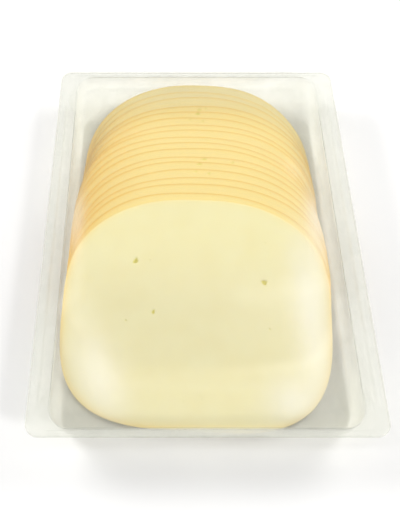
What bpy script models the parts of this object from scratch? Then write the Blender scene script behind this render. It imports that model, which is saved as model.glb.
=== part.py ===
"""A sealed pack of sliced cheese, lying flat.

A stepped clear tray holds a fan of thin slices and a clear film is sealed to the tray's rim.
Metres, +Z up. The origin is the middle of the tray's underside. The slices fan towards +Y, so the
lowest one reaches the back of the tray and the top one reaches its front, at -Y.
"""

import math

import bmesh
import bpy
import numpy as np

# Driving dimensions
PACK_WIDTH = 0.140
PACK_LENGTH = 0.191
RIM_HEIGHT = 0.0135
RIM_CORNER = 0.0055
SIDE_RIM = 0.0040
END_RIM = 0.0030
TRAY_WALL = 0.0005
LEDGE_WIDTH = 0.0048
LEDGE_DROP = 0.0017
LEDGE_FRONT = -0.082
LEDGE_BACK = 0.073
LEDGE_RUN_OUT = 0.004
CAVITY_CORNER = 0.009
CAVITY_DRAFT = 0.0009
FLOOR_FILLET = 0.0014
BACK_RAMP = 0.024
BACK_RAMP_RISE = 0.0058

SLICE_COUNT = 18
SLICE_WIDTH = 0.1114
SLICE_WIDTH_GAIN = 0.0020
SLICE_LENGTH = 0.1010
LAYER_PITCH = 0.0010
SLICE_GAP = 0.00045
FRONT_SQUARENESS = 3.4
BACK_SQUARENESS = 2.4
FAN_BACK = 0.0915
FAN_FRONT = -0.0908
FAN_CENTRE_X = -0.0030
FAN_DRIFT = 0.0026
FAN_BULGE = 0.0020
FAN_BULGE_INDEX = 8.5
FAN_BULGE_REACH = 2.6
FAN_TURN = math.radians(-2.8)
STEP_UNEVENNESS = 0.20
STEP_GROWTH = 0.22
SIDE_JITTER = 0.0003

SAG_BLEND = 0.032
SAG_GAIN = 1.17
SAG_WIDENING = 1.42
LIFT_LENGTH = 0.034
LIFT_HEIGHT = 0.0068

FILM_THICKNESS = 0.0003
FILM_CLEARANCE = 0.0010
FILM_EDGE_CLEARANCE = 0.0028
FILM_GRID = 0.002
FILM_SAG = 40.0
FILM_PASSES = 2500

# Mesh fineness
CORNER_STEPS = 3
SIDE_STATIONS = 8
END_STATIONS = (0.60, 0.30, 0.0, -0.30, -0.60)
SLICE_SPOKES = 24
SLICE_RINGS = (0.42, 0.70, 0.88, 1.0)
FILM_RINGS = (0.26, 0.46, 0.62, 0.74, 0.83, 0.90, 0.95)


def clear_scene():
    for obj in list(bpy.data.objects):
        bpy.data.objects.remove(obj, do_unlink=True)


def make_material(name, colour, roughness, alpha=1.0):
    material = bpy.data.materials.new(name)
    material.use_nodes = True
    shader = material.node_tree.nodes["Principled BSDF"]
    shader.inputs["Base Color"].default_value = (*colour, 1.0)
    shader.inputs["Roughness"].default_value = roughness
    shader.inputs["Metallic"].default_value = 0.0
    shader.inputs["Alpha"].default_value = alpha
    return material


def add_object(name, bm, material, collection):
    """Puts a bmesh into a new object with outward faces, in the part's collection."""
    bmesh.ops.recalc_face_normals(bm, faces=bm.faces)
    mesh = bpy.data.meshes.new(name)
    bm.to_mesh(mesh)
    bm.free()
    mesh.materials.append(material)
    obj = bpy.data.objects.new(name, mesh)
    collection.objects.link(obj)
    return obj


# The fan of slices. Slice 0 lies lowest and furthest back.


def slice_offsets():
    """How far each slice's middle lies in front of the lowest slice's, with uneven steps."""
    count = np.arange(1, SLICE_COUNT)
    steps = 1 + STEP_UNEVENNESS * np.sin(2.4 * count + 0.7)
    steps += STEP_GROWTH * (count / SLICE_COUNT - 0.5)
    travel = FAN_BACK - FAN_FRONT - SLICE_LENGTH
    return np.concatenate([[0.0], np.cumsum(steps / steps.sum() * travel)])


def slice_middle(index):
    """The fan drifts to the left as it comes forward, and its middle slices stand out there."""
    drift = FAN_DRIFT * (1 - (index / (SLICE_COUNT - 1)) ** 3)
    bulge = FAN_BULGE * math.exp(-(((index - FAN_BULGE_INDEX) / FAN_BULGE_REACH) ** 2))
    x = FAN_CENTRE_X + drift - bulge + SIDE_JITTER * math.sin(3.1 * index)
    y = FAN_BACK - SLICE_LENGTH / 2 - slice_offsets()[index]
    return x, y


def slice_turn(index):
    return FAN_TURN * index / (SLICE_COUNT - 1)


def turned(x, y, angle):
    return x * math.cos(angle) - y * math.sin(angle), x * math.sin(angle) + y * math.cos(angle)


def half_width(index):
    return (SLICE_WIDTH + SLICE_WIDTH_GAIN * index / (SLICE_COUNT - 1)) / 2


def squareness(sine):
    """The outline's exponent: rounder at the back of a slice and squarer at its front."""
    return np.where(sine > 0, BACK_SQUARENESS, FRONT_SQUARENESS)


def outline_point(angle, half_x, half_y):
    """A superellipse: |x/a|^n + |y/b|^n = 1."""
    cosine, sine = np.cos(angle), np.sin(angle)
    power = 2 / squareness(sine)
    x = half_x * np.sign(cosine) * np.abs(cosine) ** power
    y = half_y * np.sign(sine) * np.abs(sine) ** power
    return x, y


def layer_base(x, y):
    """Underside of the lowest layer at (x, y). Every layer lies parallel to it, one pitch above
    the other. It falls in front of the lowest slice, where ever fewer slices lie beneath, and
    it rises where the slices lean on the ramp at the back.
    """
    reach = np.clip(np.abs(x - FAN_CENTRE_X) / (SLICE_WIDTH / 2 * SAG_WIDENING), 0.0, 0.97)
    front = (1 - reach**FRONT_SQUARENESS) ** (1 / FRONT_SQUARENESS) * SLICE_LENGTH / 2
    past = np.maximum(slice_middle(0)[1] - front - y, 0.0)
    run = np.where(past < SAG_BLEND, past**2 / (2 * SAG_BLEND), past - SAG_BLEND / 2)
    slope = SAG_GAIN * LAYER_PITCH * (SLICE_COUNT - 1) / slice_offsets()[-1]
    lean = np.maximum((y - FAN_BACK + LIFT_LENGTH) / LIFT_LENGTH, 0.0)
    return TRAY_WALL + SLICE_GAP - slope * run + LIFT_HEIGHT * lean**2


def make_slice(index, material, collection):
    """A polar grid of points carried on the layer's under and upper faces."""
    middle_x, middle_y = slice_middle(index)
    angles = np.linspace(0, 2 * math.pi, SLICE_SPOKES, endpoint=False) + math.pi / SLICE_SPOKES
    edge_x, edge_y = outline_point(angles, half_width(index), SLICE_LENGTH / 2)
    edge_x, edge_y = turned(edge_x, edge_y, slice_turn(index))
    bm = bmesh.new()
    sheets = []
    for rise in (0.0, LAYER_PITCH - SLICE_GAP):
        rings = []
        for share in (0.0, *SLICE_RINGS):
            x = middle_x + share * (edge_x if share else edge_x[:1])
            y = middle_y + share * (edge_y if share else edge_y[:1])
            z = layer_base(x, y) + LAYER_PITCH * index + rise
            rings.append([bm.verts.new(point) for point in zip(x, y, z)])
        for spoke in range(SLICE_SPOKES):
            after = (spoke + 1) % SLICE_SPOKES
            bm.faces.new((rings[0][0], rings[1][spoke], rings[1][after]))
            for inner, outer in zip(rings[1:], rings[2:]):
                bm.faces.new((inner[spoke], outer[spoke], outer[after], inner[after]))
        sheets.append(rings[-1])
    for spoke in range(SLICE_SPOKES):
        after = (spoke + 1) % SLICE_SPOKES
        lower, upper = sheets
        bm.faces.new((lower[spoke], lower[after], upper[after], upper[spoke]))
    return add_object(f"slice_{index + 1:02d}", bm, material, collection)


# The tray and the film share rounded rectangles that all have the same number of points.


def rounded_loop(half_x, front, back, corner):
    """Points round a rectangle, with stations on its long sides at the ledge's two run-outs."""
    between = np.linspace(LEDGE_FRONT + LEDGE_RUN_OUT, LEDGE_BACK - LEDGE_RUN_OUT, SIDE_STATIONS)
    stations = np.array([LEDGE_FRONT, *between, LEDGE_BACK])
    stations = front + (stations / (PACK_LENGTH - 2 * END_RIM) + 0.5) * (back - front)
    points = []
    for side_x, side_y, start in ((1, 1, 0), (-1, 1, 90), (-1, -1, 180), (1, -1, 270)):
        end_y = back - corner if side_y > 0 else front + corner
        for step in range(CORNER_STEPS + 1):
            turn = math.radians(start + 90 * step / CORNER_STEPS)
            x = side_x * (half_x - corner) + corner * math.cos(turn)
            points.append((x, end_y + corner * math.sin(turn)))
        if start == 90:
            points += [(-half_x, y) for y in stations[::-1]]
        elif start == 270:
            points += [(half_x, y) for y in stations]
        else:
            end = back if side_y > 0 else front
            points += [(side_y * half_x * share, end) for share in END_STATIONS]
    return np.array(points)


def ledge_mask(y):
    """1 along the sunken ledges on the long sides, falling to 0 at their two run-outs."""
    front = np.clip((y - LEDGE_FRONT) / LEDGE_RUN_OUT, 0, 1)
    back = np.clip((LEDGE_BACK - y) / LEDGE_RUN_OUT, 0, 1)
    return front * back


def make_tray(material, collection):
    """An open surface of nested loops, from the rim down to the floor, thickened outwards."""
    half_x, half_y = PACK_WIDTH / 2, PACK_LENGTH / 2
    rim_x, rim_y = half_x - SIDE_RIM, half_y - END_RIM
    cavity_x = rim_x - LEDGE_WIDTH
    floor_x = cavity_x - CAVITY_DRAFT
    floor_y = rim_y - CAVITY_DRAFT / 2
    rim_corner = RIM_CORNER - END_RIM / 2
    loops = []

    def add_loop(half, front, back, corner, height, ledge=0.0):
        points = rounded_loop(half, front, back, corner)
        z = height - ledge * ledge_mask(points[:, 1])
        loops.append(np.column_stack([points, z]))

    add_loop(half_x, -half_y, half_y, RIM_CORNER, RIM_HEIGHT)
    add_loop(rim_x, -rim_y, rim_y, rim_corner, RIM_HEIGHT)
    add_loop(
        rim_x - 0.0006,
        -rim_y + 0.0002,
        rim_y - 0.0002,
        rim_corner,
        RIM_HEIGHT - 0.0004,
        LEDGE_DROP - 0.0004,
    )
    add_loop(
        cavity_x, -rim_y + 0.0003, rim_y - 0.0003, CAVITY_CORNER, RIM_HEIGHT - 0.0006, LEDGE_DROP
    )
    floor = TRAY_WALL
    add_loop(floor_x, -floor_y, floor_y, CAVITY_CORNER, floor + BACK_RAMP_RISE)
    middle_front, middle_back = -floor_y + FLOOR_FILLET / 3, floor_y - BACK_RAMP / 2.2
    add_loop(
        floor_x - FLOOR_FILLET / 3,
        middle_front,
        middle_back,
        CAVITY_CORNER,
        floor + FLOOR_FILLET / 2,
    )
    add_loop(
        floor_x - FLOOR_FILLET, -floor_y + FLOOR_FILLET, floor_y - BACK_RAMP, CAVITY_CORNER, floor
    )

    bm = bmesh.new()
    rings = [[bm.verts.new(point) for point in loop] for loop in loops]
    count = len(rings[0])
    for outer, inner in zip(rings, rings[1:]):
        for i in range(count):
            j = (i + 1) % count
            bm.faces.new((outer[i], outer[j], inner[j], inner[i]))
    bm.faces.new(rings[-1])
    tray = add_object("tray", bm, material, collection)
    shell = tray.modifiers.new("wall", "SOLIDIFY")
    shell.thickness = TRAY_WALL
    shell.offset = -1.0
    shell.use_even_offset = True
    return tray


def slices_top(x, y):
    """Upper face of the highest slice over (x, y), or 0 beyond all of them."""
    height = np.zeros_like(x)
    base = layer_base(x, y)
    for index in range(SLICE_COUNT):
        middle_x, middle_y = slice_middle(index)
        across, along = turned(x - middle_x, y - middle_y, -slice_turn(index))
        across = across / (half_width(index) + FILM_EDGE_CLEARANCE)
        along = along / (SLICE_LENGTH / 2 + FILM_EDGE_CLEARANCE)
        power = squareness(along)
        inside = np.abs(across) ** power + np.abs(along) ** power < 1
        height = np.where(inside, base + LAYER_PITCH * (index + 1), height)
    return height


def outside_cavity(x, y):
    """True where the sheet lies on the rim and ledges, past the rounded edge of the cavity."""
    corner = CAVITY_CORNER + FILM_GRID
    across = np.maximum(np.abs(x) - PACK_WIDTH / 2 + SIDE_RIM + LEDGE_WIDTH + corner, 0)
    along = np.maximum(np.abs(y) - PACK_LENGTH / 2 + END_RIM + corner, 0)
    return np.hypot(across, along) > CAVITY_CORNER


def stretched_film():
    """Height of a taut sheet, found by relaxing it on a grid.

    Each pass sets a point to the mean of its four neighbours less a small sag, and never lets
    it sink into the slices. The rim holds it all round.
    """
    half_x, half_y = PACK_WIDTH / 2, PACK_LENGTH / 2
    columns = round(PACK_WIDTH / FILM_GRID) + 1
    rows = round(PACK_LENGTH / FILM_GRID) + 1
    xs = np.linspace(-half_x, half_x, columns)
    ys = np.linspace(-half_y, half_y, rows)
    x, y = np.meshgrid(xs, ys, indexing="ij")
    seat = RIM_HEIGHT + SLICE_GAP
    held = outside_cavity(x, y)
    lowest = np.maximum(slices_top(x, y) + FILM_CLEARANCE, TRAY_WALL + FILM_CLEARANCE)
    sag = FILM_SAG * FILM_GRID**2 / 4
    z = np.maximum(lowest, seat)
    for _ in range(FILM_PASSES):
        mean = (z[2:, 1:-1] + z[:-2, 1:-1] + z[1:-1, 2:] + z[1:-1, :-2]) / 4
        z[1:-1, 1:-1] = np.maximum(mean - sag, lowest[1:-1, 1:-1])
        z[held] = np.maximum(lowest, seat)[held]
    return xs, ys, z


def sample(xs, ys, z, points):
    """Bilinear reading of a height grid."""
    across = np.clip((points[:, 0] - xs[0]) / (xs[1] - xs[0]), 0, len(xs) - 1.001)
    along = np.clip((points[:, 1] - ys[0]) / (ys[1] - ys[0]), 0, len(ys) - 1.001)
    i, j = across.astype(int), along.astype(int)
    u, v = across - i, along - j
    near = z[i, j] * (1 - u) + z[i + 1, j] * u
    far = z[i, j + 1] * (1 - u) + z[i + 1, j + 1] * u
    return near * (1 - v) + far * v


def make_film(material, collection):
    """Nested loops that shrink from the rim to the middle, laid on the relaxed heights."""
    half_x, half_y = PACK_WIDTH / 2, PACK_LENGTH / 2
    rim_x, rim_y = half_x - SIDE_RIM, half_y - END_RIM
    heights = stretched_film()
    outlines = [
        rounded_loop(half_x, -half_y, half_y, RIM_CORNER),
        rounded_loop(rim_x, -rim_y, rim_y, RIM_CORNER),
    ]
    outlines += [
        rounded_loop(rim_x, -rim_y, rim_y, CAVITY_CORNER) * share for share in reversed(FILM_RINGS)
    ]
    bm = bmesh.new()
    edges = []
    for rise in (0.0, FILM_THICKNESS):
        rings = []
        for points in outlines:
            z = sample(*heights, points) + rise
            rings.append([bm.verts.new((*point, top)) for point, top in zip(points, z)])
        centre = sample(*heights, np.zeros((1, 2)))[0] + rise
        hub = bm.verts.new((0.0, 0.0, centre))
        count = len(rings[0])
        for i in range(count):
            j = (i + 1) % count
            for outer, inner in zip(rings, rings[1:]):
                bm.faces.new((outer[i], outer[j], inner[j], inner[i]))
            bm.faces.new((rings[-1][i], rings[-1][j], hub))
        edges.append(rings[0])
    lower, upper = edges
    for i in range(len(lower)):
        j = (i + 1) % len(lower)
        bm.faces.new((lower[i], lower[j], upper[j], upper[i]))
    return add_object("film", bm, material, collection)


def main():
    clear_scene()
    collection = bpy.data.collections.new("sliced_cheese_pack")
    bpy.context.scene.collection.children.link(collection)
    tray_plastic = make_material("tray_plastic", (0.90, 0.91, 0.86), 0.18, 0.35)
    film_plastic = make_material("film_plastic", (0.98, 0.98, 0.96), 0.08, 0.15)
    cheese = make_material("cheese", (0.93, 0.84, 0.47), 0.42)
    make_tray(tray_plastic, collection)
    for index in range(SLICE_COUNT):
        make_slice(index, cheese, collection)
    make_film(film_plastic, collection)


main()
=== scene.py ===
import bpy
import numpy as np
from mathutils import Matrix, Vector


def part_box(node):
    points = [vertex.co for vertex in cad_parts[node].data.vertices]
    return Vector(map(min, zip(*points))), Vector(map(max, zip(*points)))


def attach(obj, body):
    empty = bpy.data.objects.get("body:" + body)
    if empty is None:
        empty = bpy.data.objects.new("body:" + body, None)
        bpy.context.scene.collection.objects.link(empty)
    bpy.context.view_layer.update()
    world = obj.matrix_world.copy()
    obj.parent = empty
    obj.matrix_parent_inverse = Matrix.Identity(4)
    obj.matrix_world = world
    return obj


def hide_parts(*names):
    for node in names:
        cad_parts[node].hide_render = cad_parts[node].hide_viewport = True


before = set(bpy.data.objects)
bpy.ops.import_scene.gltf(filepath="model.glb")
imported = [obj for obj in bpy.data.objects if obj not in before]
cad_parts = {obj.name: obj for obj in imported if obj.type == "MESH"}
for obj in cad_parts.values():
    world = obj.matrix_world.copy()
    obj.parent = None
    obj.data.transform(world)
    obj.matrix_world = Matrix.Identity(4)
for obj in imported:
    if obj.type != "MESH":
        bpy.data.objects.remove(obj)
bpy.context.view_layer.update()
mm = 0.001

trayLow, trayHigh = (np.array(corner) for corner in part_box("tray"))
packSize = trayHigh - trayLow
sliceNodes = sorted(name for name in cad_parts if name.startswith("slice_"))
sliceCount = len(sliceNodes)
print("frame loaded:", sliceCount, "slices in a pack of", np.round(packSize / mm, 1), "mm")


cameraSettings = {
    "across": -0.118,  # from the pack's middle, in pack widths
    "ahead": -1.023,  # in front of the point it aims over, in pack widths
    "aimShare": 0.404,  # that point's place along the pack, from the front
    "height": 1.772,  # above the rim, in pack widths
    "tiltUp": 30.0,  # degrees up from straight down
    "lens": 59.04,
    "shiftX": 0.0888,
}


def addCamera(settings):
    camera = bpy.data.objects.new("camera", bpy.data.cameras.new("camera"))
    bpy.context.scene.collection.objects.link(camera)
    width, length = packSize[0], packSize[1]
    camera.location = (
        settings["across"] * width,
        trayLow[1] + settings["aimShare"] * length + settings["ahead"] * width,
        trayHigh[2] + settings["height"] * width,
    )
    camera.rotation_euler = (np.radians(settings["tiltUp"]), 0, 0)
    camera.data.sensor_fit = "HORIZONTAL"
    camera.data.sensor_width = 36
    camera.data.lens = settings["lens"]
    camera.data.shift_x = settings["shiftX"]
    camera.data.clip_start = 0.01
    bpy.context.scene.camera = camera
    print("camera at", np.round(np.array(camera.location) / mm, 1), "mm")


addCamera(cameraSettings)


# 0 below low, 1 above high and 3t^2 - 2t^3 between them
def smoothStep(low, high, value):
    t = np.clip((value - low) / (high - low), 0, 1)
    return t * t * (3 - 2 * t)


# quads between rings of points, with a fan of triangles to a pole at either end. Point numbers
# run ring by ring after the first pole's own point. The rings run anticlockwise.
def ringFaces(rings, spokes, firstPole, lastPole):
    start = 1 if firstPole else 0
    ring, spoke = np.meshgrid(np.arange(rings - 1), np.arange(spokes), indexing="ij")
    after = (spoke + 1) % spokes
    corner = start + ring * spokes
    quads = np.stack(
        [corner + spoke, corner + after, corner + spokes + after, corner + spokes + spoke], -1
    ).reshape(-1, 4)
    around = np.arange(spokes)
    nextAround = (around + 1) % spokes
    triangles = []
    if firstPole:
        triangles.append(np.stack([np.zeros_like(around), 1 + nextAround, 1 + around], -1))
    if lastPole:
        last = start + (rings - 1) * spokes
        pole = np.full_like(around, start + rings * spokes)
        triangles.append(np.stack([last + around, last + nextAround, pole], -1))
    return quads, triangles


# a smooth mesh from whole arrays of points and faces, with one number per point for each value
def addPiece(name, points, quads, triangles, material, values=None):
    corners = np.concatenate([quads.ravel(), *[t.ravel() for t in triangles]]).astype(np.int32)
    sizes = np.concatenate([np.full(len(quads), 4), *[np.full(len(t), 3) for t in triangles]])
    mesh = bpy.data.meshes.new(name)
    mesh.vertices.add(len(points))
    mesh.vertices.foreach_set("co", points.astype(np.float32).ravel())
    mesh.loops.add(len(corners))
    mesh.loops.foreach_set("vertex_index", corners)
    mesh.polygons.add(len(sizes))
    mesh.polygons.foreach_set("loop_start", (np.cumsum(sizes) - sizes).astype(np.int32))
    mesh.polygons.foreach_set("use_smooth", np.ones(len(sizes), bool))
    mesh.update(calc_edges=True)
    mesh.validate()
    for valueName, numbers in (values or {}).items():
        attribute = mesh.attributes.new(valueName, "FLOAT", "POINT")
        attribute.data.foreach_set("value", numbers.astype(np.float32).ravel())
    mesh.materials.append(material)
    piece = bpy.data.objects.new(name, mesh)
    bpy.context.scene.collection.objects.link(piece)
    return piece


def newMaterial(name):
    material = bpy.data.materials.new(name)
    material.use_nodes = True
    nodes = material.node_tree.nodes
    nodes.clear()
    output = nodes.new("ShaderNodeOutputMaterial")
    return material, nodes, material.node_tree.links, output


# a node with its own properties set by name, and its inputs by their labels in "inputs"
def addNode(nodes, kind, **settings):
    node = nodes.new(kind)
    inputs = settings.pop("inputs", {})
    for key, value in settings.items():
        setattr(node, key, value)
    for key, value in inputs.items():
        node.inputs[key].default_value = value
    return node


# sets a colour ramp's stops from (place, colour) pairs
def fillRamp(ramp, stops):
    elements = ramp.color_ramp.elements
    while len(elements) < len(stops):
        elements.new(0.5)
    for element, (place, colour) in zip(elements, stops):
        element.position = place
        element.color = (*colour, 1) if len(colour) == 3 else colour


# a colour given as seen on a display, 0 to 255, in the shader's linear values
def fromDisplay(red, green, blue):
    shares = np.array([red, green, blue]) / 255
    linear = np.where(shares <= 0.04045, shares / 12.92, ((shares + 0.055) / 1.055) ** 2.4)
    return tuple(float(value) for value in linear)


# gloss share of a thin clear sheet: f + (1 - f) * (1 - |cos|)^5, alike on both faces
def addGlossShare(nodes, links, straightOn):
    facing = addNode(nodes, "ShaderNodeLayerWeight", inputs={"Blend": 0.5})
    power = addNode(nodes, "ShaderNodeMath", operation="POWER")
    power.inputs[1].default_value = 5.0
    links.new(facing.outputs["Facing"], power.inputs[0])
    share = addNode(nodes, "ShaderNodeMapRange", inputs={"To Min": straightOn, "To Max": 1.0})
    links.new(power.outputs["Value"], share.inputs["Value"])
    return share.outputs["Result"]


sliceSettings = {
    "thickness": 0.95 * mm,
    "pitch": 1.0 * mm,  # from one layer to the next
    "lowestGap": 0.95 * mm,  # underside of the lowest slice above the tray's underside
    "rimRound": 0.34 * mm,  # how far the cut edge is rounded in
    "frontSquareness": 3.4,  # exponents of the outline
    "backSquareness": 2.4,
    "length": 101.0 * mm,
    "width": 111.4 * mm,
    "spokes": 260,
    "rings": 22,
    "topSpokes": 420,
    "topRings": 96,
    "waviness": 0.10 * mm,
}

fanSettings = {
    "sagBlend": 32 * mm,  # length over which the fan starts to fall at its front
    "sagGain": 1.17,
    "sagWidening": 1.42,
    "liftLength": 34 * mm,  # the part of the back that leans on the tray's ramp
    "liftHeight": 6.8 * mm,
    "turn": np.radians(-2.8),  # of the top slice; the lowest lies straight
}

# small holes: across and along from a slice's middle in mm, radius, depth, stretch, turn.
topEyes = (
    (-26.9, 17.7, 1.45, 0.62, 1.45, 1.1),
    (28.0, 10.5, 1.45, 0.64, 1.20, -0.4),
    (-18.2, -4.2, 1.00, 0.46, 1.60, 1.3),
    (-29.4, -8.2, 0.52, 0.34, 1.20, 0.2),
    (30.2, -9.0, 0.50, 0.32, 1.30, 2.0),
    (-20.9, 18.2, 0.50, 0.22, 1.40, 0.9),
    (28.7, 28.8, 0.46, 0.24, 1.20, 0.1),
    (-3.5, -24.5, 1.30, 0.10, 1.50, 0.5),
    (2.4, -37.3, 1.50, 0.10, 1.30, 1.9),
    (-4.5, -39.6, 1.10, 0.08, 1.20, 0.3),
    (12.0, 4.0, 1.20, 0.06, 1.40, 2.4),
    (-9.5, 31.0, 0.90, 0.07, 1.50, 1.1),
    (17.5, -17.0, 1.00, 0.07, 1.20, 0.7),
)

# pits near the back edges of slices lower in the fan, by slice number from the lowest.
stepEyes = {
    3: ((1.5, 48.0, 0.9, 0.35, 1.8, 0.0), (4.6, 48.8, 0.7, 0.30, 1.4, 0.3)),
    4: ((0.6, 48.6, 1.0, 0.40, 1.9, 0.1),),
    5: ((2.8, 48.2, 0.8, 0.32, 1.6, -0.2), (-3.6, 48.9, 0.6, 0.25, 1.5, 0.2)),
    11: ((3.0, 48.4, 1.0, 0.40, 1.9, 0.1), (16.5, 46.9, 0.6, 0.4, 1.2, 0.0)),
    12: ((0.2, 48.8, 0.9, 0.36, 2.0, -0.1),),
    13: ((4.2, 48.3, 0.8, 0.36, 1.6, 0.2), (-2.0, 48.8, 0.7, 0.30, 1.5, 0.0)),
}


def turned(x, y, angle):
    return x * np.cos(angle) - y * np.sin(angle), x * np.sin(angle) + y * np.cos(angle)


# sum of strength * exp(-(u^2 + v^2)), with u and v along each turned patch over its reach
def patchShare(patches, x, y):
    total = np.zeros_like(x)
    for middleX, middleY, reachAcross, reachAlong, turn, strength in patches:
        across, along = turned(x - middleX, y - middleY, -turn)
        total += strength * np.exp(-((across / reachAcross) ** 2) - (along / reachAlong) ** 2)
    return total


# painted glare: the film's pale reflection painted into the cheese's colour where the film clings
# to
# it: middle x and y, reach across and along (mm), turn in radians, strength
filmGlares = (
    (45, -42, 8, 36, 0.05, 0.50),
    (34, -79, 10, 10, 0.50, 0.50),
    (-43, -70, 9, 19, 0.35, 0.45),
    (53, 4, 6, 18, -0.05, 0.60),
    (-57, 5, 4, 15, 0.0, 0.40),
)


def sliceTurn(index):
    return fanSettings["turn"] * index / (sliceCount - 1)


# middle and width of a slice's CAD solid, measured along its own turned sides
def measureSlice(index):
    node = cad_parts[sliceNodes[index]]
    points = np.empty(len(node.data.vertices) * 3, np.float32)
    node.data.vertices.foreach_get("co", points)
    x, y = turned(points[0::3], points[1::3], -sliceTurn(index))
    middle = turned((x.max() + x.min()) / 2, (y.max() + y.min()) / 2, sliceTurn(index))
    return (*middle, np.ptp(x))


measured = np.array([measureSlice(index) for index in range(sliceCount)])
middles = measured[:, :2]
fanCentreX = middles[-1, 0]
fanBack = middles[0, 1] + sliceSettings["length"] / 2
fanTravel = middles[0, 1] - middles[-1, 1]


# half the width and half the length of a slice. The width follows its CAD solid.
def halfSizes(index):
    width = sliceSettings["width"] * measured[index, 2] / measured[0, 2]
    return width / 2, sliceSettings["length"] / 2


def squareness(sine):
    return np.where(sine > 0, sliceSettings["backSquareness"], sliceSettings["frontSquareness"])


# superellipse |x/a|^n + |y/b|^n = 1, rounder at the back: x = a sign(cos)|cos|^(2/n)
def outlineOf(angle, halfX, halfY):
    cosine, sine = np.cos(angle), np.sin(angle)
    power = 2 / squareness(sine)
    return (
        halfX * np.sign(cosine) * np.abs(cosine) ** power,
        halfY * np.sign(sine) * np.abs(sine) ** power,
    )


# underside of the lowest layer: flat, then falling past the lowest slice's front, where the
# number of slices beneath runs out, and rising as a parabola where the back leans on the ramp
def layerBase(x, y):
    s, fan = sliceSettings, fanSettings
    halfX, halfY = s["width"] / 2, s["length"] / 2
    reach = np.clip(np.abs(x - fanCentreX) / (halfX * fan["sagWidening"]), 0, 0.97)
    front = (1 - reach ** s["frontSquareness"]) ** (1 / s["frontSquareness"]) * halfY
    past = np.maximum(middles[0, 1] - front - y, 0)
    blend = fan["sagBlend"]
    run = np.where(past < blend, past**2 / (2 * blend), past - blend / 2)
    slope = fan["sagGain"] * s["pitch"] * (sliceCount - 1) / fanTravel
    lean = np.maximum((y - fanBack + fan["liftLength"]) / fan["liftLength"], 0)
    return s["lowestGap"] - slope * run + fan["liftHeight"] * lean**2


# places from low to high that crowd round the given centres, read off the running total of
# 1 + weight * sum of exp(-(t - centre)^2 / width^2)
def crowd(centres, width, weight, count, low, high):
    t = np.linspace(low, high, 4000)
    density = 1 + weight * np.exp(-(((t[:, None] - np.array(centres)) / width) ** 2)).sum(axis=1)
    total = np.concatenate([[0], np.cumsum((density[1:] + density[:-1]) / 2)])
    return np.interp(np.linspace(0, total[-1], count), total, t)


# depth of the holes at points measured from the slice's middle, and how much painted shade each
# one gets, more for deeper holes. A hole is depth * (1 - smoothStep) of the distance to its centre,
# in a stretched and turned frame whose outline is made uneven by 0.14 sin(3a + 2) of the angle a.
def eyeDents(eyes, across, along):
    depth = np.zeros_like(across)
    holeShade = np.zeros_like(across)
    for placeX, placeY, radius, deep, stretch, turn in eyes:
        dx, dy = across / mm - placeX, along / mm - placeY
        longWay = (dx * np.cos(turn) + dy * np.sin(turn)) / stretch**0.5
        shortWay = (dy * np.cos(turn) - dx * np.sin(turn)) * stretch**0.5
        distance = np.hypot(longWay, shortWay) / radius
        angle = np.arctan2(shortWay, longWay)
        distance = distance / (1 + 0.14 * np.sin(3 * angle + 2 + placeX))
        steep = 0.45 if deep > 0.15 else 0.0
        inside = 1 - smoothStep(steep, 1.0, distance)
        depth = np.maximum(depth, deep * mm * inside)
        holeShade = np.maximum(holeShade, inside * min(1.0, deep / 0.45) ** 2)
    return depth, holeShade


# how far a point has the darker tone of a cut edge, which is partly the edge's own deeper colour
# and partly painted shade. In the fan it is a plateau that fades out 6 to 12 mm in, a thin line
# exp(-d / 0.55 mm) at the edge that is painted shade for the shadow line at each step, and more on
# the left, painted shade where the close-set edges lie in the shadow of the slices above. The top
# slice has only a soft rim exp(-(d / 2.3 mm)^1.5), less at its back, partly edge colour and partly
# painted shade on its rounded border.
def edgeToneAndShade(inset, sine, cosine, index):
    d = inset / mm
    back = smoothStep(0.1, 0.9, sine)
    if index == sliceCount - 1:
        rim = 0.42 * np.exp(-((d / 2.3) ** 1.5)) + 0.22 * np.exp(-d / 0.3)
        return rim * (1 - 0.8 * back)
    # painted shade on the left, where the close-set terraces lie in the shadow of the slices above
    left = smoothStep(0.35, 0.95, -cosine)
    strength = 0.55 + 0.45 * smoothStep(0, 4, index)
    plateau = 0.36 * (1 - smoothStep(6, 12, d))
    # the thin line at each outline is painted shade for the step's shadow line as well as the
    # edge's colour
    line = 0.95 * np.exp(-d / 0.55)
    return np.clip(strength * (plateau + line) + 0.30 * left * np.exp(-((d / 4) ** 2)), 0, 1)


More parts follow.
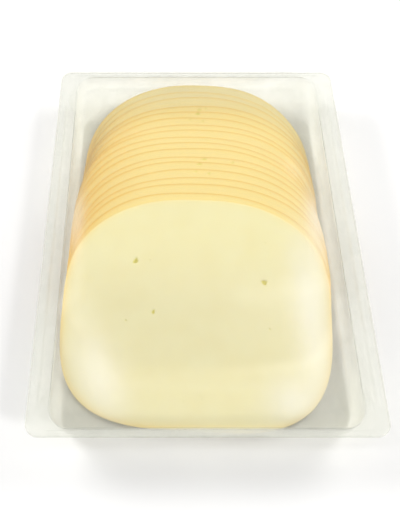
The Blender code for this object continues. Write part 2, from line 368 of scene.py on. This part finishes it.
# one slice: a closed profile carried round the outline. The profile runs from the middle of the
# underside to the rim, round it as a half circle squeezed to rimRound, and back to the middle of
# the upper face. A point is middle + outline * (1 - inset / |outline|) at height layerBase +
# share of the thickness.
def makeSlice(index, material):
    s = sliceSettings
    isTop = index == sliceCount - 1
    spokes, rings = (s["topSpokes"], s["topRings"]) if isTop else (s["spokes"], s["rings"])
    halfX, halfY = halfSizes(index)
    middleX, middleY = middles[index]
    eyes = topEyes if isTop else stepEyes.get(index, ())
    centres = [np.arctan2(eye[1], eye[0]) % (2 * np.pi) for eye in eyes]
    angles = crowd(centres, 0.035, 2.2, spokes + 1, 0, 2 * np.pi)[:-1]
    if isTop:
        centres = [np.hypot(eye[0] / halfX, eye[1] / halfY) * mm for eye in eyes]
        shares = crowd(centres, 0.03, 1.2, rings, 0.02, 1.0)
    else:
        shares = 1 - np.linspace(1, 0, rings) ** 1.9 * 0.97
    # the parameter of a superellipse isn't its polar angle, so the outline is read by polar angle
    dense = np.linspace(0, 2 * np.pi, 7200, endpoint=False)
    denseX, denseY = outlineOf(dense, halfX, halfY)
    polar = np.unwrap(np.arctan2(denseY, denseX))
    radius = np.interp(angles, polar, np.hypot(denseX, denseY), period=2 * np.pi)
    wobble = 0.22 * mm * np.sin(3 * angles + 1.7 * index) + 0.10 * mm * np.sin(8 * angles + index)
    radius = radius + wobble - 0.2 * mm
    flat = radius[None, :] * shares[:, None] - s["rimRound"] * shares[:, None]
    turns = np.linspace(-np.pi / 2, np.pi / 2, 9)[1:-1]
    rim = radius[None, :] - s["rimRound"] * (1 - np.cos(turns))[:, None]
    spread = np.concatenate([flat, rim, flat[::-1]])
    level = np.concatenate([np.zeros(rings), (1 + np.sin(turns)) / 2, np.ones(rings)])[:, None]
    level = level * np.ones_like(spread)
    across, along = spread * np.cos(angles), spread * np.sin(angles)
    x, y = turned(across, along, sliceTurn(index))
    x, y = x + middleX, y + middleY
    inset = np.maximum(radius[None, :] - spread, 0)
    base = layerBase(x, y) + s["pitch"] * index
    wave = s["waviness"] * (
        np.sin(x / (9 * mm) + 1.3 * index) * np.sin(y / (11 * mm) + 0.7 * index) * 0.5
    )
    thickness = s["thickness"] + (wave - s["waviness"] / 2) * 0.4
    thickness = thickness - 0.12 * mm * np.exp(-((inset / (1.5 * mm)) ** 2))
    z = base + level * thickness
    depth, holeShade = eyeDents(eyes, across, along)
    z = z - depth * level
    holeShade = holeShade * level
    tone = edgeToneAndShade(inset, np.sin(angles)[None, :], np.cos(angles)[None, :], index)
    # painted reflection of the film on the cheese's upper faces
    filmGlare = patchShare(filmGlares, x / mm, y / mm) * level
    ends = []
    for endRow in (0, -1):
        ends.append([middleX, middleY, float(z[endRow].mean())])
    points = np.concatenate([[ends[0]], np.stack([x, y, z], -1).reshape(-1, 3), [ends[1]]])
    quads, triangles = ringFaces(len(spread), len(angles), True, True)
    values = {
        "edgeToneAndShade": np.concatenate([[0], tone.ravel(), [0]]),
        "eyeShade": np.concatenate([[0], holeShade.ravel(), [0]]),
        "filmGlare": np.concatenate([[0], filmGlare.ravel(), [0]]),
    }
    piece = addPiece(f"cheese_{sliceNodes[index]}", points, quads, triangles, material, values)
    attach(piece, "root")
    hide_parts(sliceNodes[index])
    return piece


cheeseSettings = {
    "body": fromDisplay(250, 240, 184),
    "edge": fromDisplay(249, 224, 140),
    # the darkest end of the edge ramp, also painted shade for the step lines and the shaded left
    # terraces
    "deepEdgeAndShade": fromDisplay(231, 184, 66),
    # the painted shade inside the holes
    "eye": fromDisplay(226, 212, 70),
    # the pale colour of the painted film glare
    "filmGlare": fromDisplay(255, 251, 236),
    "mottle": fromDisplay(246, 233, 170),
    "roughness": 0.40,
    "subsurface": 0.12,
    "bump": 0.25,
}


# pale body that darkens along the edge tone, partly edge colour and partly painted shade, with
# painted film glare, painted shade in the holes, soft mottling and fine pores as bump
def makeCheeseMaterial(settings):
    material, nodes, links, output = newMaterial("cheese")
    shader = addNode(
        nodes,
        "ShaderNodeBsdfPrincipled",
        inputs={
            "Roughness": settings["roughness"],
            "Subsurface Weight": settings["subsurface"],
            "Subsurface Radius": (0.004, 0.003, 0.0012),
            "Subsurface Scale": 1.0,
            "Specular IOR Level": 0.35,
        },
    )
    links.new(shader.outputs["BSDF"], output.inputs["Surface"])
    place = addNode(nodes, "ShaderNodeTexCoord")
    mottle = addNode(
        nodes, "ShaderNodeTexNoise", inputs={"Scale": 85.0, "Detail": 3.0, "Roughness": 0.55}
    )
    links.new(place.outputs["Object"], mottle.inputs["Vector"])
    mottleShare = addNode(
        nodes,
        "ShaderNodeMapRange",
        inputs={"From Min": 0.35, "From Max": 0.7, "To Min": 0.0, "To Max": 0.55},
    )
    links.new(mottle.outputs["Fac"], mottleShare.inputs["Value"])
    body = addNode(nodes, "ShaderNodeMix", data_type="RGBA")
    body.inputs["A"].default_value = (*settings["body"], 1)
    body.inputs["B"].default_value = (*settings["mottle"], 1)
    links.new(mottleShare.outputs["Result"], body.inputs["Factor"])

    # the edge tone: partly the cut edges' deeper colour, partly painted shade
    tone = addNode(nodes, "ShaderNodeAttribute", attribute_name="edgeToneAndShade")
    edge = addNode(nodes, "ShaderNodeValToRGB")
    fillRamp(
        edge,
        [
            (0.0, (*settings["edge"], 0)),
            (0.38, (*settings["edge"], 1)),
            (1.0, (*settings["deepEdgeAndShade"], 1)),
        ],
    )
    links.new(tone.outputs["Fac"], edge.inputs["Fac"])
    edged = addNode(nodes, "ShaderNodeMix", data_type="RGBA")
    links.new(body.outputs["Result"], edged.inputs["A"])
    links.new(edge.outputs["Color"], edged.inputs["B"])
    links.new(edge.outputs["Alpha"], edged.inputs["Factor"])

    # painted glare of the film, mixed into the cheese's colour
    filmGlareShare = addNode(nodes, "ShaderNodeAttribute", attribute_name="filmGlare")
    glared = addNode(nodes, "ShaderNodeMix", data_type="RGBA")
    links.new(edged.outputs["Result"], glared.inputs["A"])
    glared.inputs["B"].default_value = (*settings["filmGlare"], 1)
    links.new(filmGlareShare.outputs["Fac"], glared.inputs["Factor"])

    # painted shade in the holes, deeper ones darker
    eyeShade = addNode(nodes, "ShaderNodeAttribute", attribute_name="eyeShade")
    holed = addNode(nodes, "ShaderNodeMix", data_type="RGBA")
    links.new(glared.outputs["Result"], holed.inputs["A"])
    holed.inputs["B"].default_value = (*settings["eye"], 1)
    links.new(eyeShade.outputs["Fac"], holed.inputs["Factor"])
    links.new(holed.outputs["Result"], shader.inputs["Base Color"])

    pores = addNode(
        nodes, "ShaderNodeTexNoise", inputs={"Scale": 900.0, "Detail": 2.0, "Roughness": 0.5}
    )
    links.new(place.outputs["Object"], pores.inputs["Vector"])
    bump = addNode(
        nodes, "ShaderNodeBump", inputs={"Strength": settings["bump"], "Distance": 0.00012}
    )
    links.new(pores.outputs["Fac"], bump.inputs["Height"])
    links.new(bump.outputs["Normal"], shader.inputs["Normal"])
    return material


cheese = makeCheeseMaterial(cheeseSettings)
for sliceIndex in range(sliceCount):
    makeSlice(sliceIndex, cheese)
print("cheese:", sliceCount, "slices laid in the fan")


traySettings = {
    "wall": 0.45 * mm,
    "sideRim": 4.0 * mm,
    "endRim": 3.0 * mm,
    "rimCorner": 5.5 * mm,
    "ledgeWidth": 4.8 * mm,
    "ledgeDrop": 1.7 * mm,
    "ledgeFront": -82.0 * mm,
    "ledgeBack": 73.0 * mm,
    "ledgeRunOut": 3.0 * mm,
    "cavityCorner": 9.0 * mm,
    "cavityDraft": 0.9 * mm,
    "floorFillet": 2.2 * mm,
    "backRamp": 24.0 * mm,
    "backRampRise": 5.8 * mm,
    "sideStations": 120,
    "endStations": 70,
    "cornerStations": 22,
}

floorLevel = traySettings["wall"] + 0.05 * mm
rimLevel = trayHigh[2]


# points anticlockwise round a rectangle with round corners, as arrays x and y. Every such outline
# has the same count of points in the same order, so that two of them join.
def roundedRectangle(halfX, front, back, corner, settings):
    sides = np.linspace(0, 1, settings["sideStations"] + 2)[1:-1]
    ends = np.linspace(0, 1, settings["endStations"] + 2)[1:-1]
    turns = np.linspace(0, np.pi / 2, settings["cornerStations"])
    cos, sin = np.cos(turns), np.sin(turns)
    right, left = halfX - corner, -halfX + corner
    low, high = front + corner, back - corner
    x = np.concatenate(
        [
            np.full(len(sides), halfX),
            right + corner * cos,
            right + (left - right) * ends,
            left - corner * sin,
            np.full(len(sides), -halfX),
            left - corner * cos,
            left + (right - left) * ends,
            right + corner * sin,
        ]
    )
    y = np.concatenate(
        [
            low + (high - low) * sides,
            high + corner * sin,
            np.full(len(ends), back),
            high + corner * cos,
            high + (low - high) * sides,
            low - corner * sin,
            np.full(len(ends), front),
            low - corner * cos,
        ]
    )
    return x, y


# 1 on the sunken ledges of the long sides, 0 beyond their mitred ends
def ledgeShare(x, y, settings):
    mitre = np.abs(x) - (packSize[0] / 2 - settings["sideRim"])
    runOut = settings["ledgeRunOut"]
    front = smoothStep(0, runOut, y - settings["ledgeFront"] + mitre * 0.9 + runOut / 2)
    back = smoothStep(0, runOut, settings["ledgeBack"] - y + mitre * 0.9 + runOut / 2)
    return front * back


# nested outlines from the rim's edge to the floor's middle, each at its own height; between the
# rows of the table they follow a Catmull-Rom curve, so that every fold of the plastic is round
def makeTray(settings, material):
    s = settings
    rim = rimLevel
    cavityX = s["sideRim"] + s["ledgeWidth"]
    drop = s["ledgeDrop"]
    floorX = cavityX + s["cavityDraft"]
    floorEnd = s["endRim"] + s["cavityDraft"] / 2
    fillet = s["floorFillet"]
    ramp, rise = s["backRamp"], s["backRampRise"]
    sideRim, endRim = s["sideRim"], s["endRim"]
    bend, rimBend = s["cavityCorner"], s["rimCorner"]
    level = floorLevel
    # inset of the sides, of the front and of the back, corner, height, how far the ledge sinks
    rows = np.array(
        [
            (0.0, 0.0, 0.0, rimBend, rim - 1.1 * mm, 0),
            (0.05 * mm, 0.05 * mm, 0.05 * mm, rimBend, rim - 0.35 * mm, 0),
            (0.35 * mm, 0.35 * mm, 0.35 * mm, rimBend, rim - 0.12 * mm, 0),
            (0.9 * mm, 0.8 * mm, 0.8 * mm, rimBend, rim - 0.10 * mm, 0),
            (sideRim * 0.6, endRim * 0.6, endRim * 0.6, 4.8 * mm, rim - 0.10 * mm, 0),
            (sideRim - 0.4 * mm, endRim - 0.3 * mm, endRim - 0.3 * mm,
             4.2 * mm, rim - 0.12 * mm, 0),
            (sideRim, endRim - 0.1 * mm, endRim - 0.1 * mm, 4.1 * mm, rim - 0.35 * mm, 0.25 * drop),
            (sideRim + 0.35 * mm, endRim, endRim, 4.0 * mm, rim - 0.55 * mm, 0.85 * drop),
            (sideRim + 0.9 * mm, endRim + 0.1 * mm, endRim + 0.1 * mm,
             4.4 * mm, rim - 0.6 * mm, drop),
            ((sideRim + cavityX) / 2, endRim + 0.2 * mm, endRim + 0.2 * mm,
             6.5 * mm, rim - 0.62 * mm, drop),
            (cavityX - 0.9 * mm, endRim + 0.25 * mm, endRim + 0.25 * mm,
             bend - 0.4 * mm, rim - 0.62 * mm, drop * 0.96),
            (cavityX - 0.45 * mm, endRim + 0.3 * mm, endRim + 0.3 * mm,
             bend, rim - 0.55 * mm, drop * 0.80),
            (cavityX, endRim + 0.35 * mm, endRim + 0.35 * mm, bend, rim - 1.0 * mm, drop),
            (cavityX + 0.15 * mm, endRim + 0.4 * mm, endRim + 0.4 * mm,
             bend, rim - 2.2 * mm, drop * 0.9),
            ((cavityX + floorX) / 2, floorEnd, floorEnd + 0.4 * mm, bend, (rim + level) / 2, 0),
            (floorX, floorEnd + 0.1 * mm, floorEnd + 0.9 * mm, bend, level + fillet + 1.2 * mm, 0),
            (floorX + 0.25 * fillet, floorEnd + 0.25 * fillet, floorEnd + ramp * 0.12,
             bend, level + fillet * 0.45, 0),
            (floorX + 0.6 * fillet, floorEnd + 0.6 * fillet, floorEnd + ramp * 0.5,
             bend, level + fillet * 0.12, 0),
            (floorX + fillet, floorEnd + fillet, floorEnd + ramp, bend, level, 0),
            (floorX + fillet * 2, floorEnd + fillet * 2, floorEnd + ramp + 2 * mm, bend, level, 0),
        ]
    )
    steps = np.linspace(0, len(rows) - 1, (len(rows) - 1) * 4 + 1)
    cell = np.clip(steps.astype(int), 0, len(rows) - 2)
    t = (steps - cell)[:, None]
    padded = np.concatenate([rows[:1], rows, rows[-1:]])
    before, here, there, beyond = padded[cell], padded[cell + 1], padded[cell + 2], padded[cell + 3]
    fine = 0.5 * (
        2 * here
        + (there - before) * t
        + (2 * before - 5 * here + 4 * there - beyond) * t**2
        + (3 * here - before - 3 * there + beyond) * t**3
    )
    halfX, halfY = packSize[0] / 2, packSize[1] / 2
    allX, allY, allZ = [], [], []
    for sideInset, frontInset, backInset, corner, height, sink in fine:
        x, y = roundedRectangle(
            halfX - sideInset, -halfY + frontInset, halfY - backInset, max(corner, 0.5 * mm), s
        )
        backRise = rise * smoothStep(halfY - ramp - s["endRim"], halfY - s["endRim"], y)
        aboveFloor = np.clip((height - floorLevel) / (rim * 0.45), 0, 1)
        z = height - sink * ledgeShare(x, y, s) + backRise * (1 - aboveFloor)
        allX.append(x), allY.append(y), allZ.append(z)
    lastX, lastY, lastZ = allX[-1], allY[-1], allZ[-1]
    for share in (0.85, 0.7, 0.5, 0.3, 0.12):
        allX.append(lastX * share), allY.append(lastY * share)
        allZ.append(np.full_like(lastZ, floorLevel) + (lastZ - floorLevel) * share**6)
    x, y, z = np.array(allX), np.array(allY), np.array(allZ)
    pole = [[0, 0, floorLevel]]
    points = np.concatenate([np.stack([x, y, z], -1).reshape(-1, 3), pole])
    quads, triangles = ringFaces(len(x), x.shape[1], False, True)
    depth = np.concatenate([((rim - z) / (rim - floorLevel)).ravel(), [1.0]])
    piece = addPiece("clear_tray", points, quads, triangles, material, {"depthTone": depth})
    shell = piece.modifiers.new("wall", "SOLIDIFY")
    shell.thickness = s["wall"]
    shell.offset = -1
    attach(piece, "root")
    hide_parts("tray")
    return piece


trayFinish = {
    "rimColour": fromDisplay(238, 239, 231),
    # the deep floor painted lighter than the rim, standing in for light against the shade in the
    # cavity
    "deepLitColour": fromDisplay(250, 249, 234),
    "clearColour": (0.980, 0.980, 0.955, 1),
    "clearShare": 0.78,
    "shadowDensity": 0.20,  # the moulded walls throw more shade than one flat sheet would
    "roughness": 0.22,
    "straightOn": 0.05,
}


# clear plastic with a faint milkiness: see-through, thin white body and gloss on top; the body is
# painted lighter on the deep floor than on the rim, standing in for light against the cavity's
# shade
def makeTrayMaterial(settings):
    material, nodes, links, output = newMaterial("tray_plastic")
    depth = addNode(nodes, "ShaderNodeAttribute", attribute_name="depthTone")
    ramp = addNode(nodes, "ShaderNodeValToRGB")
    fillRamp(ramp, [(0.0, settings["rimColour"]), (0.75, settings["deepLitColour"])])
    links.new(depth.outputs["Fac"], ramp.inputs["Fac"])
    place = addNode(nodes, "ShaderNodeTexCoord")
    flow = addNode(
        nodes, "ShaderNodeTexNoise", inputs={"Scale": 60.0, "Detail": 2.0, "Roughness": 0.5}
    )
    links.new(place.outputs["Object"], flow.inputs["Vector"])
    milky = addNode(nodes, "ShaderNodeBsdfDiffuse")
    links.new(ramp.outputs["Color"], milky.inputs["Color"])
    through = addNode(nodes, "ShaderNodeBsdfTranslucent")
    links.new(ramp.outputs["Color"], through.inputs["Color"])
    body = addNode(nodes, "ShaderNodeMixShader", inputs={"Fac": 0.45})
    links.new(milky.outputs["BSDF"], body.inputs[1])
    links.new(through.outputs["BSDF"], body.inputs[2])
    clear = addNode(nodes, "ShaderNodeBsdfTransparent", inputs={"Color": settings["clearColour"]})
    clearShare = addNode(
        nodes,
        "ShaderNodeMapRange",
        inputs={
            "From Min": 0.3,
            "From Max": 0.7,
            "To Min": settings["clearShare"] - 0.05,
            "To Max": settings["clearShare"] + 0.05,
        },
    )
    links.new(flow.outputs["Fac"], clearShare.inputs["Value"])
    ray = addNode(nodes, "ShaderNodeLightPath")
    dimmer = addNode(nodes, "ShaderNodeMath", operation="MULTIPLY_ADD")
    links.new(ray.outputs["Is Shadow Ray"], dimmer.inputs[0])
    dimmer.inputs[1].default_value = -settings["shadowDensity"]
    links.new(clearShare.outputs["Result"], dimmer.inputs[2])
    seen = addNode(nodes, "ShaderNodeMixShader")
    links.new(dimmer.outputs["Value"], seen.inputs["Fac"])
    links.new(body.outputs["Shader"], seen.inputs[1])
    links.new(clear.outputs["BSDF"], seen.inputs[2])
    gloss = addNode(
        nodes,
        "ShaderNodeBsdfAnisotropic",
        inputs={"Color": (1, 1, 1, 1), "Roughness": settings["roughness"]},
    )
    coated = addNode(nodes, "ShaderNodeMixShader")
    links.new(addGlossShare(nodes, links, settings["straightOn"]), coated.inputs["Fac"])
    links.new(seen.outputs["Shader"], coated.inputs[1])
    links.new(gloss.outputs["BSDF"], coated.inputs[2])
    links.new(coated.outputs["Shader"], output.inputs["Surface"])
    bump = addNode(nodes, "ShaderNodeBump", inputs={"Strength": 0.15, "Distance": 0.0003})
    links.new(flow.outputs["Fac"], bump.inputs["Height"])
    links.new(bump.outputs["Normal"], gloss.inputs["Normal"])
    return material


makeTray(traySettings, makeTrayMaterial(trayFinish))
print("tray: drawn with two sunken ledges")


filmSettings = {
    "thickness": 0.07 * mm,
    "clearance": 0.22 * mm,  # above the slices
    "edgeClearance": 0.6 * mm,  # past their outlines
    "seal": 0.12 * mm,  # above the rim
    "grid": 1.0 * mm,
    "sag": 26.0,  # pull inwards, as the sheet's curvature in 1/m where nothing holds it
    "passes": 2600,
    "rings": 120,
    "wrinkle": 0.10 * mm,
    "hazeOnCheese": 0.02,
    "hazeFree": 0.05,  # where the film spans free air it is a little milky
}

# milky patches where the film has lifted off the cheese, which are also painted glare of the film,
# in the same six numbers as the painted glares on the cheese
glareVeils = (
    (45, -54, 8.0, 26, 0.06, 0.16),
    (51, -14, 5.0, 20, -0.08, 0.14),
    (-44, -66, 8.0, 17, 0.40, 0.15),
    (-54, -16, 3.0, 22, 0.02, 0.12),
    (45, 33, 4.5, 8, 0.30, 0.08),
    (36, -80, 8.0, 7, 0.60, 0.10),
)


# upper face of the highest slice at each point, falling off steeply past every outline
def slicesTop(x, y, margin):
    height = np.zeros_like(x)
    base = layerBase(x, y)
    for index in range(sliceCount):
        halfX, halfY = halfSizes(index)
        across, along = turned(x - middles[index, 0], y - middles[index, 1], -sliceTurn(index))
        across, along = across / (halfX + margin), along / (halfY + margin)
        power = squareness(along)
        past = (np.abs(across) ** power + np.abs(along) ** power) ** (1 / power) - 1
        top = base + sliceSettings["pitch"] * index + sliceSettings["thickness"]
        height = np.maximum(height, top - 1.6 * halfY * np.maximum(past, 0))
    return height


# heights of the film on a grid, by relaxation. Each pass sets a point to the mean of its
# neighbours less sag * grid^2 / 4 and keeps it above the cheese. The rim and the cavity's round
# edge hold it.
def tautSheet(settings):
    step = settings["grid"]
    columns, rows = round(packSize[0] / step) + 1, round(packSize[1] / step) + 1
    xs = np.linspace(trayLow[0], trayHigh[0], columns)
    ys = np.linspace(trayLow[1], trayHigh[1], rows)
    x, y = np.meshgrid(xs, ys, indexing="ij")
    s = traySettings
    corner = s["cavityCorner"]
    across = np.maximum(np.abs(x) - packSize[0] / 2 + s["sideRim"] + corner, 0)
    along = np.maximum(np.abs(y) - packSize[1] / 2 + s["endRim"] + corner, 0)
    held = np.hypot(across, along) > corner
    seat = rimLevel + settings["seal"]
    cheeseTop = slicesTop(x, y, settings["edgeClearance"])
    lowest = np.maximum(cheeseTop + settings["clearance"], floorLevel + 1 * mm)
    z = np.maximum(lowest, seat)
    sag = settings["sag"] * step**2 / 4
    for _ in range(settings["passes"]):
        mean = (z[2:, 1:-1] + z[:-2, 1:-1] + z[1:-1, 2:] + z[1:-1, :-2]) / 4
        z[1:-1, 1:-1] = np.maximum(mean - sag, lowest[1:-1, 1:-1])
        z[held] = np.maximum(lowest, seat)[held]
    return xs, ys, z, z - lowest


# bilinear reading of a height grid
def readGrid(xs, ys, z, x, y):
    across = np.clip((x - xs[0]) / (xs[1] - xs[0]), 0, len(xs) - 1.001)
    along = np.clip((y - ys[0]) / (ys[1] - ys[0]), 0, len(ys) - 1.001)
    i, j = across.astype(int), along.astype(int)
    u, v = across - i, along - j
    near = z[i, j] * (1 - u) + z[i + 1, j] * u
    far = z[i, j + 1] * (1 - u) + z[i + 1, j + 1] * u
    return near * (1 - v) + far * v


# the relaxed heights on outlines that shrink from the rim's edge to the middle
def makeFilm(settings, material):
    xs, ys, heights, gaps = tautSheet(settings)
    halfX, halfY = packSize[0] / 2, packSize[1] / 2
    shares = 1 - np.linspace(0, 1, settings["rings"] + 1)[:-1] ** 1.15 * 0.985
    x, y = [], []
    for share in shares:
        corner = traySettings["rimCorner"] * share + 9 * mm * (1 - share)
        lineX, lineY = roundedRectangle(
            (halfX - 0.02 * mm) * share,
            (-halfY + 0.02 * mm) * share,
            (halfY - 0.02 * mm) * share,
            min(corner, halfX * share * 0.9),
            traySettings,
        )
        x.append(lineX), y.append(lineY)
    x, y = np.array(x), np.array(y)
    z = readGrid(xs, ys, heights, x, y)
    fromEdge = np.minimum(halfX - np.abs(x), halfY - np.abs(y))
    band = smoothStep(4 * mm, 9 * mm, fromEdge) * (1 - smoothStep(12 * mm, 22 * mm, fromEdge))
    ripple = np.sin(np.arctan2(y, x * 1.4) * 46 + 3 * np.sin(x / (21 * mm)))
    z = z + settings["wrinkle"] * band * (ripple + 1) / 2
    pole = [[0, 0, float(readGrid(xs, ys, heights, np.zeros(1), np.zeros(1))[0])]]
    points = np.concatenate([np.stack([x, y, z], -1).reshape(-1, 3), pole])
    quads, triangles = ringFaces(len(x), x.shape[1], False, True)
    free = smoothStep(0.1 * mm, 1.6 * mm, readGrid(xs, ys, gaps, points[:, 0], points[:, 1]))
    hazeAndGlare = settings["hazeOnCheese"] + (settings["hazeFree"] - settings["hazeOnCheese"]) * free
    # patches of painted glare added to the haze
    hazeAndGlare = hazeAndGlare + patchShare(glareVeils, points[:, 0] / mm, points[:, 1] / mm)
    piece = addPiece("clear_film", points, quads, triangles, material, {"hazeAndGlare": hazeAndGlare})
    shell = piece.modifiers.new("thickness", "SOLIDIFY")
    shell.thickness = settings["thickness"]
    shell.offset = 1
    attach(piece, "root")
    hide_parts("film")
    return piece


filmFinish = {
    "clearColour": (0.995, 0.995, 0.99, 1),
    "roughness": 0.24,
    "straightOn": 0.04,
}


# clear film: see-through, with gloss that grows towards grazing and a trace of white haze, which in
# patches is painted glare
def makeFilmMaterial(settings):
    material, nodes, links, output = newMaterial("film_plastic")
    place = addNode(nodes, "ShaderNodeTexCoord")
    ripple = addNode(
        nodes, "ShaderNodeTexNoise", inputs={"Scale": 55.0, "Detail": 2.0, "Roughness": 0.5}
    )
    links.new(place.outputs["Object"], ripple.inputs["Vector"])
    bump = addNode(nodes, "ShaderNodeBump", inputs={"Strength": 0.35, "Distance": 0.0006})
    links.new(ripple.outputs["Fac"], bump.inputs["Height"])
    clear = addNode(nodes, "ShaderNodeBsdfTransparent", inputs={"Color": settings["clearColour"]})
    scatterBack = addNode(nodes, "ShaderNodeBsdfDiffuse", inputs={"Color": (1, 1, 1, 1)})
    scatterOn = addNode(nodes, "ShaderNodeBsdfTranslucent", inputs={"Color": (1, 1, 1, 1)})
    hazeAndGlare = addNode(nodes, "ShaderNodeMixShader", inputs={"Fac": 0.5})
    links.new(scatterBack.outputs["BSDF"], hazeAndGlare.inputs[1])
    links.new(scatterOn.outputs["BSDF"], hazeAndGlare.inputs[2])
    hazed = addNode(nodes, "ShaderNodeMixShader")
    hazeShare = addNode(nodes, "ShaderNodeAttribute", attribute_name="hazeAndGlare")
    links.new(hazeShare.outputs["Fac"], hazed.inputs["Fac"])
    links.new(clear.outputs["BSDF"], hazed.inputs[1])
    links.new(hazeAndGlare.outputs["Shader"], hazed.inputs[2])
    gloss = addNode(
        nodes,
        "ShaderNodeBsdfAnisotropic",
        inputs={"Color": (1, 1, 1, 1), "Roughness": settings["roughness"]},
    )
    links.new(bump.outputs["Normal"], gloss.inputs["Normal"])
    coated = addNode(nodes, "ShaderNodeMixShader")
    links.new(addGlossShare(nodes, links, settings["straightOn"]), coated.inputs["Fac"])
    links.new(hazed.outputs["Shader"], coated.inputs[1])
    links.new(gloss.outputs["BSDF"], coated.inputs[2])
    links.new(coated.outputs["Shader"], output.inputs["Surface"])
    return material


makeFilm(filmSettings, makeFilmMaterial(filmFinish))
print("film: drawn tight over the slices")


stageSettings = {
    "floorSize": 6.0,
    "floorColour": (0.80, 0.80, 0.79, 1),
    "floorSeen": (1.01, 1.005, 1.0, 1),  # for camera, gloss and glass, so that a lit floor is white
    "worldStrength": 0.27,
}

# A lamp's compass direction and height in degrees, its share of the light on the floor, and its
# size across and up. 0 degrees is towards +Y and 90 towards +X. All stand at one distance.
lampDistance = 1.6
lamps = {
    "key": (132, 36, 0.20, 0.30, 0.30),
    "rightLow": (58, 21, 0.20, 0.70, 0.44),
    "leftLow": (-60, 21, 0.30, 0.70, 0.44),
    "overhead": (0, 84, 0.06, 1.10, 1.10),
    "rightStrip": (84, 66, 0.05, 0.24, 0.90),
    "leftStrip": (-92, 60, 0.07, 0.24, 0.90),
}
unseenInGloss = ("rightLow", "leftLow")


# a plain pale floor that reads white where it is lit and keeps its shadow
def addFloor(settings):
    half = settings["floorSize"] / 2
    mesh = bpy.data.meshes.new("floor")
    mesh.from_pydata(
        [(-half, -half, 0), (half, -half, 0), (half, half, 0), (-half, half, 0)], [], [(0, 1, 2, 3)]
    )
    floor = bpy.data.objects.new("floor", mesh)
    bpy.context.scene.collection.objects.link(floor)
    material, nodes, links, output = newMaterial("floor")
    path = addNode(nodes, "ShaderNodeLightPath")
    total = addSeenShare(nodes, links, path)
    colour = addNode(nodes, "ShaderNodeMix", data_type="RGBA")
    colour.inputs["A"].default_value = settings["floorColour"]
    colour.inputs["B"].default_value = settings["floorSeen"]
    links.new(total, colour.inputs["Factor"])
    shader = addNode(nodes, "ShaderNodeBsdfDiffuse")
    links.new(colour.outputs["Result"], shader.inputs["Color"])
    links.new(shader.outputs["BSDF"], output.inputs["Surface"])
    mesh.materials.append(material)


# 1 for rays from the camera, off gloss or through glass, else 0
def addSeenShare(nodes, links, path):
    first = addNode(nodes, "ShaderNodeMath", operation="MAXIMUM")
    links.new(path.outputs["Is Camera Ray"], first.inputs[0])
    links.new(path.outputs["Is Glossy Ray"], first.inputs[1])
    both = addNode(nodes, "ShaderNodeMath", operation="MAXIMUM")
    links.new(first.outputs["Value"], both.inputs[0])
    links.new(path.outputs["Is Transmission Ray"], both.inputs[1])
    return both.outputs["Value"]


# white where it is seen, and a plain even light elsewhere
def addWorld(settings):
    world = bpy.data.worlds.new("studio")
    bpy.context.scene.world = world
    world.use_nodes = True
    nodes, links = world.node_tree.nodes, world.node_tree.links
    nodes.clear()
    path = addNode(nodes, "ShaderNodeLightPath")
    share = addSeenShare(nodes, links, path)
    strength = addNode(
        nodes,
        "ShaderNodeMapRange",
        inputs={"To Min": settings["worldStrength"], "To Max": 1.0},
    )
    links.new(share, strength.inputs["Value"])
    background = addNode(nodes, "ShaderNodeBackground", inputs={"Color": (1, 1, 1, 1)})
    links.new(strength.outputs["Result"], background.inputs["Strength"])
    output = addNode(nodes, "ShaderNodeOutputWorld")
    links.new(background.outputs["Background"], output.inputs["Surface"])


# a soft lamp that looks at the origin. Its power follows from share = P sin(h) / (pi^2 d^2).
def addLamp(name, compass, height, share, across, up):
    compass, height = np.radians(compass), np.radians(height)
    data = bpy.data.lights.new(name, "AREA")
    data.shape = "RECTANGLE"
    data.size, data.size_y = across, up
    data.energy = share * np.pi**2 * lampDistance**2 / np.sin(height)
    lamp = bpy.data.objects.new(name, data)
    lamp.visible_glossy = name not in unseenInGloss
    bpy.context.scene.collection.objects.link(lamp)
    lamp.location = lampDistance * np.array(
        [np.cos(height) * np.sin(compass), np.cos(height) * np.cos(compass), np.sin(height)]
    )
    lamp.rotation_euler = (-lamp.location).to_track_quat("-Z", "Y").to_euler()


addFloor(stageSettings)
addWorld(stageSettings)
for lampName, lampSettings in lamps.items():
    addLamp(lampName, *lampSettings)
bpy.context.scene.view_settings.view_transform = "Standard"
print("stage: floor, world and", len(lamps), "lamps")
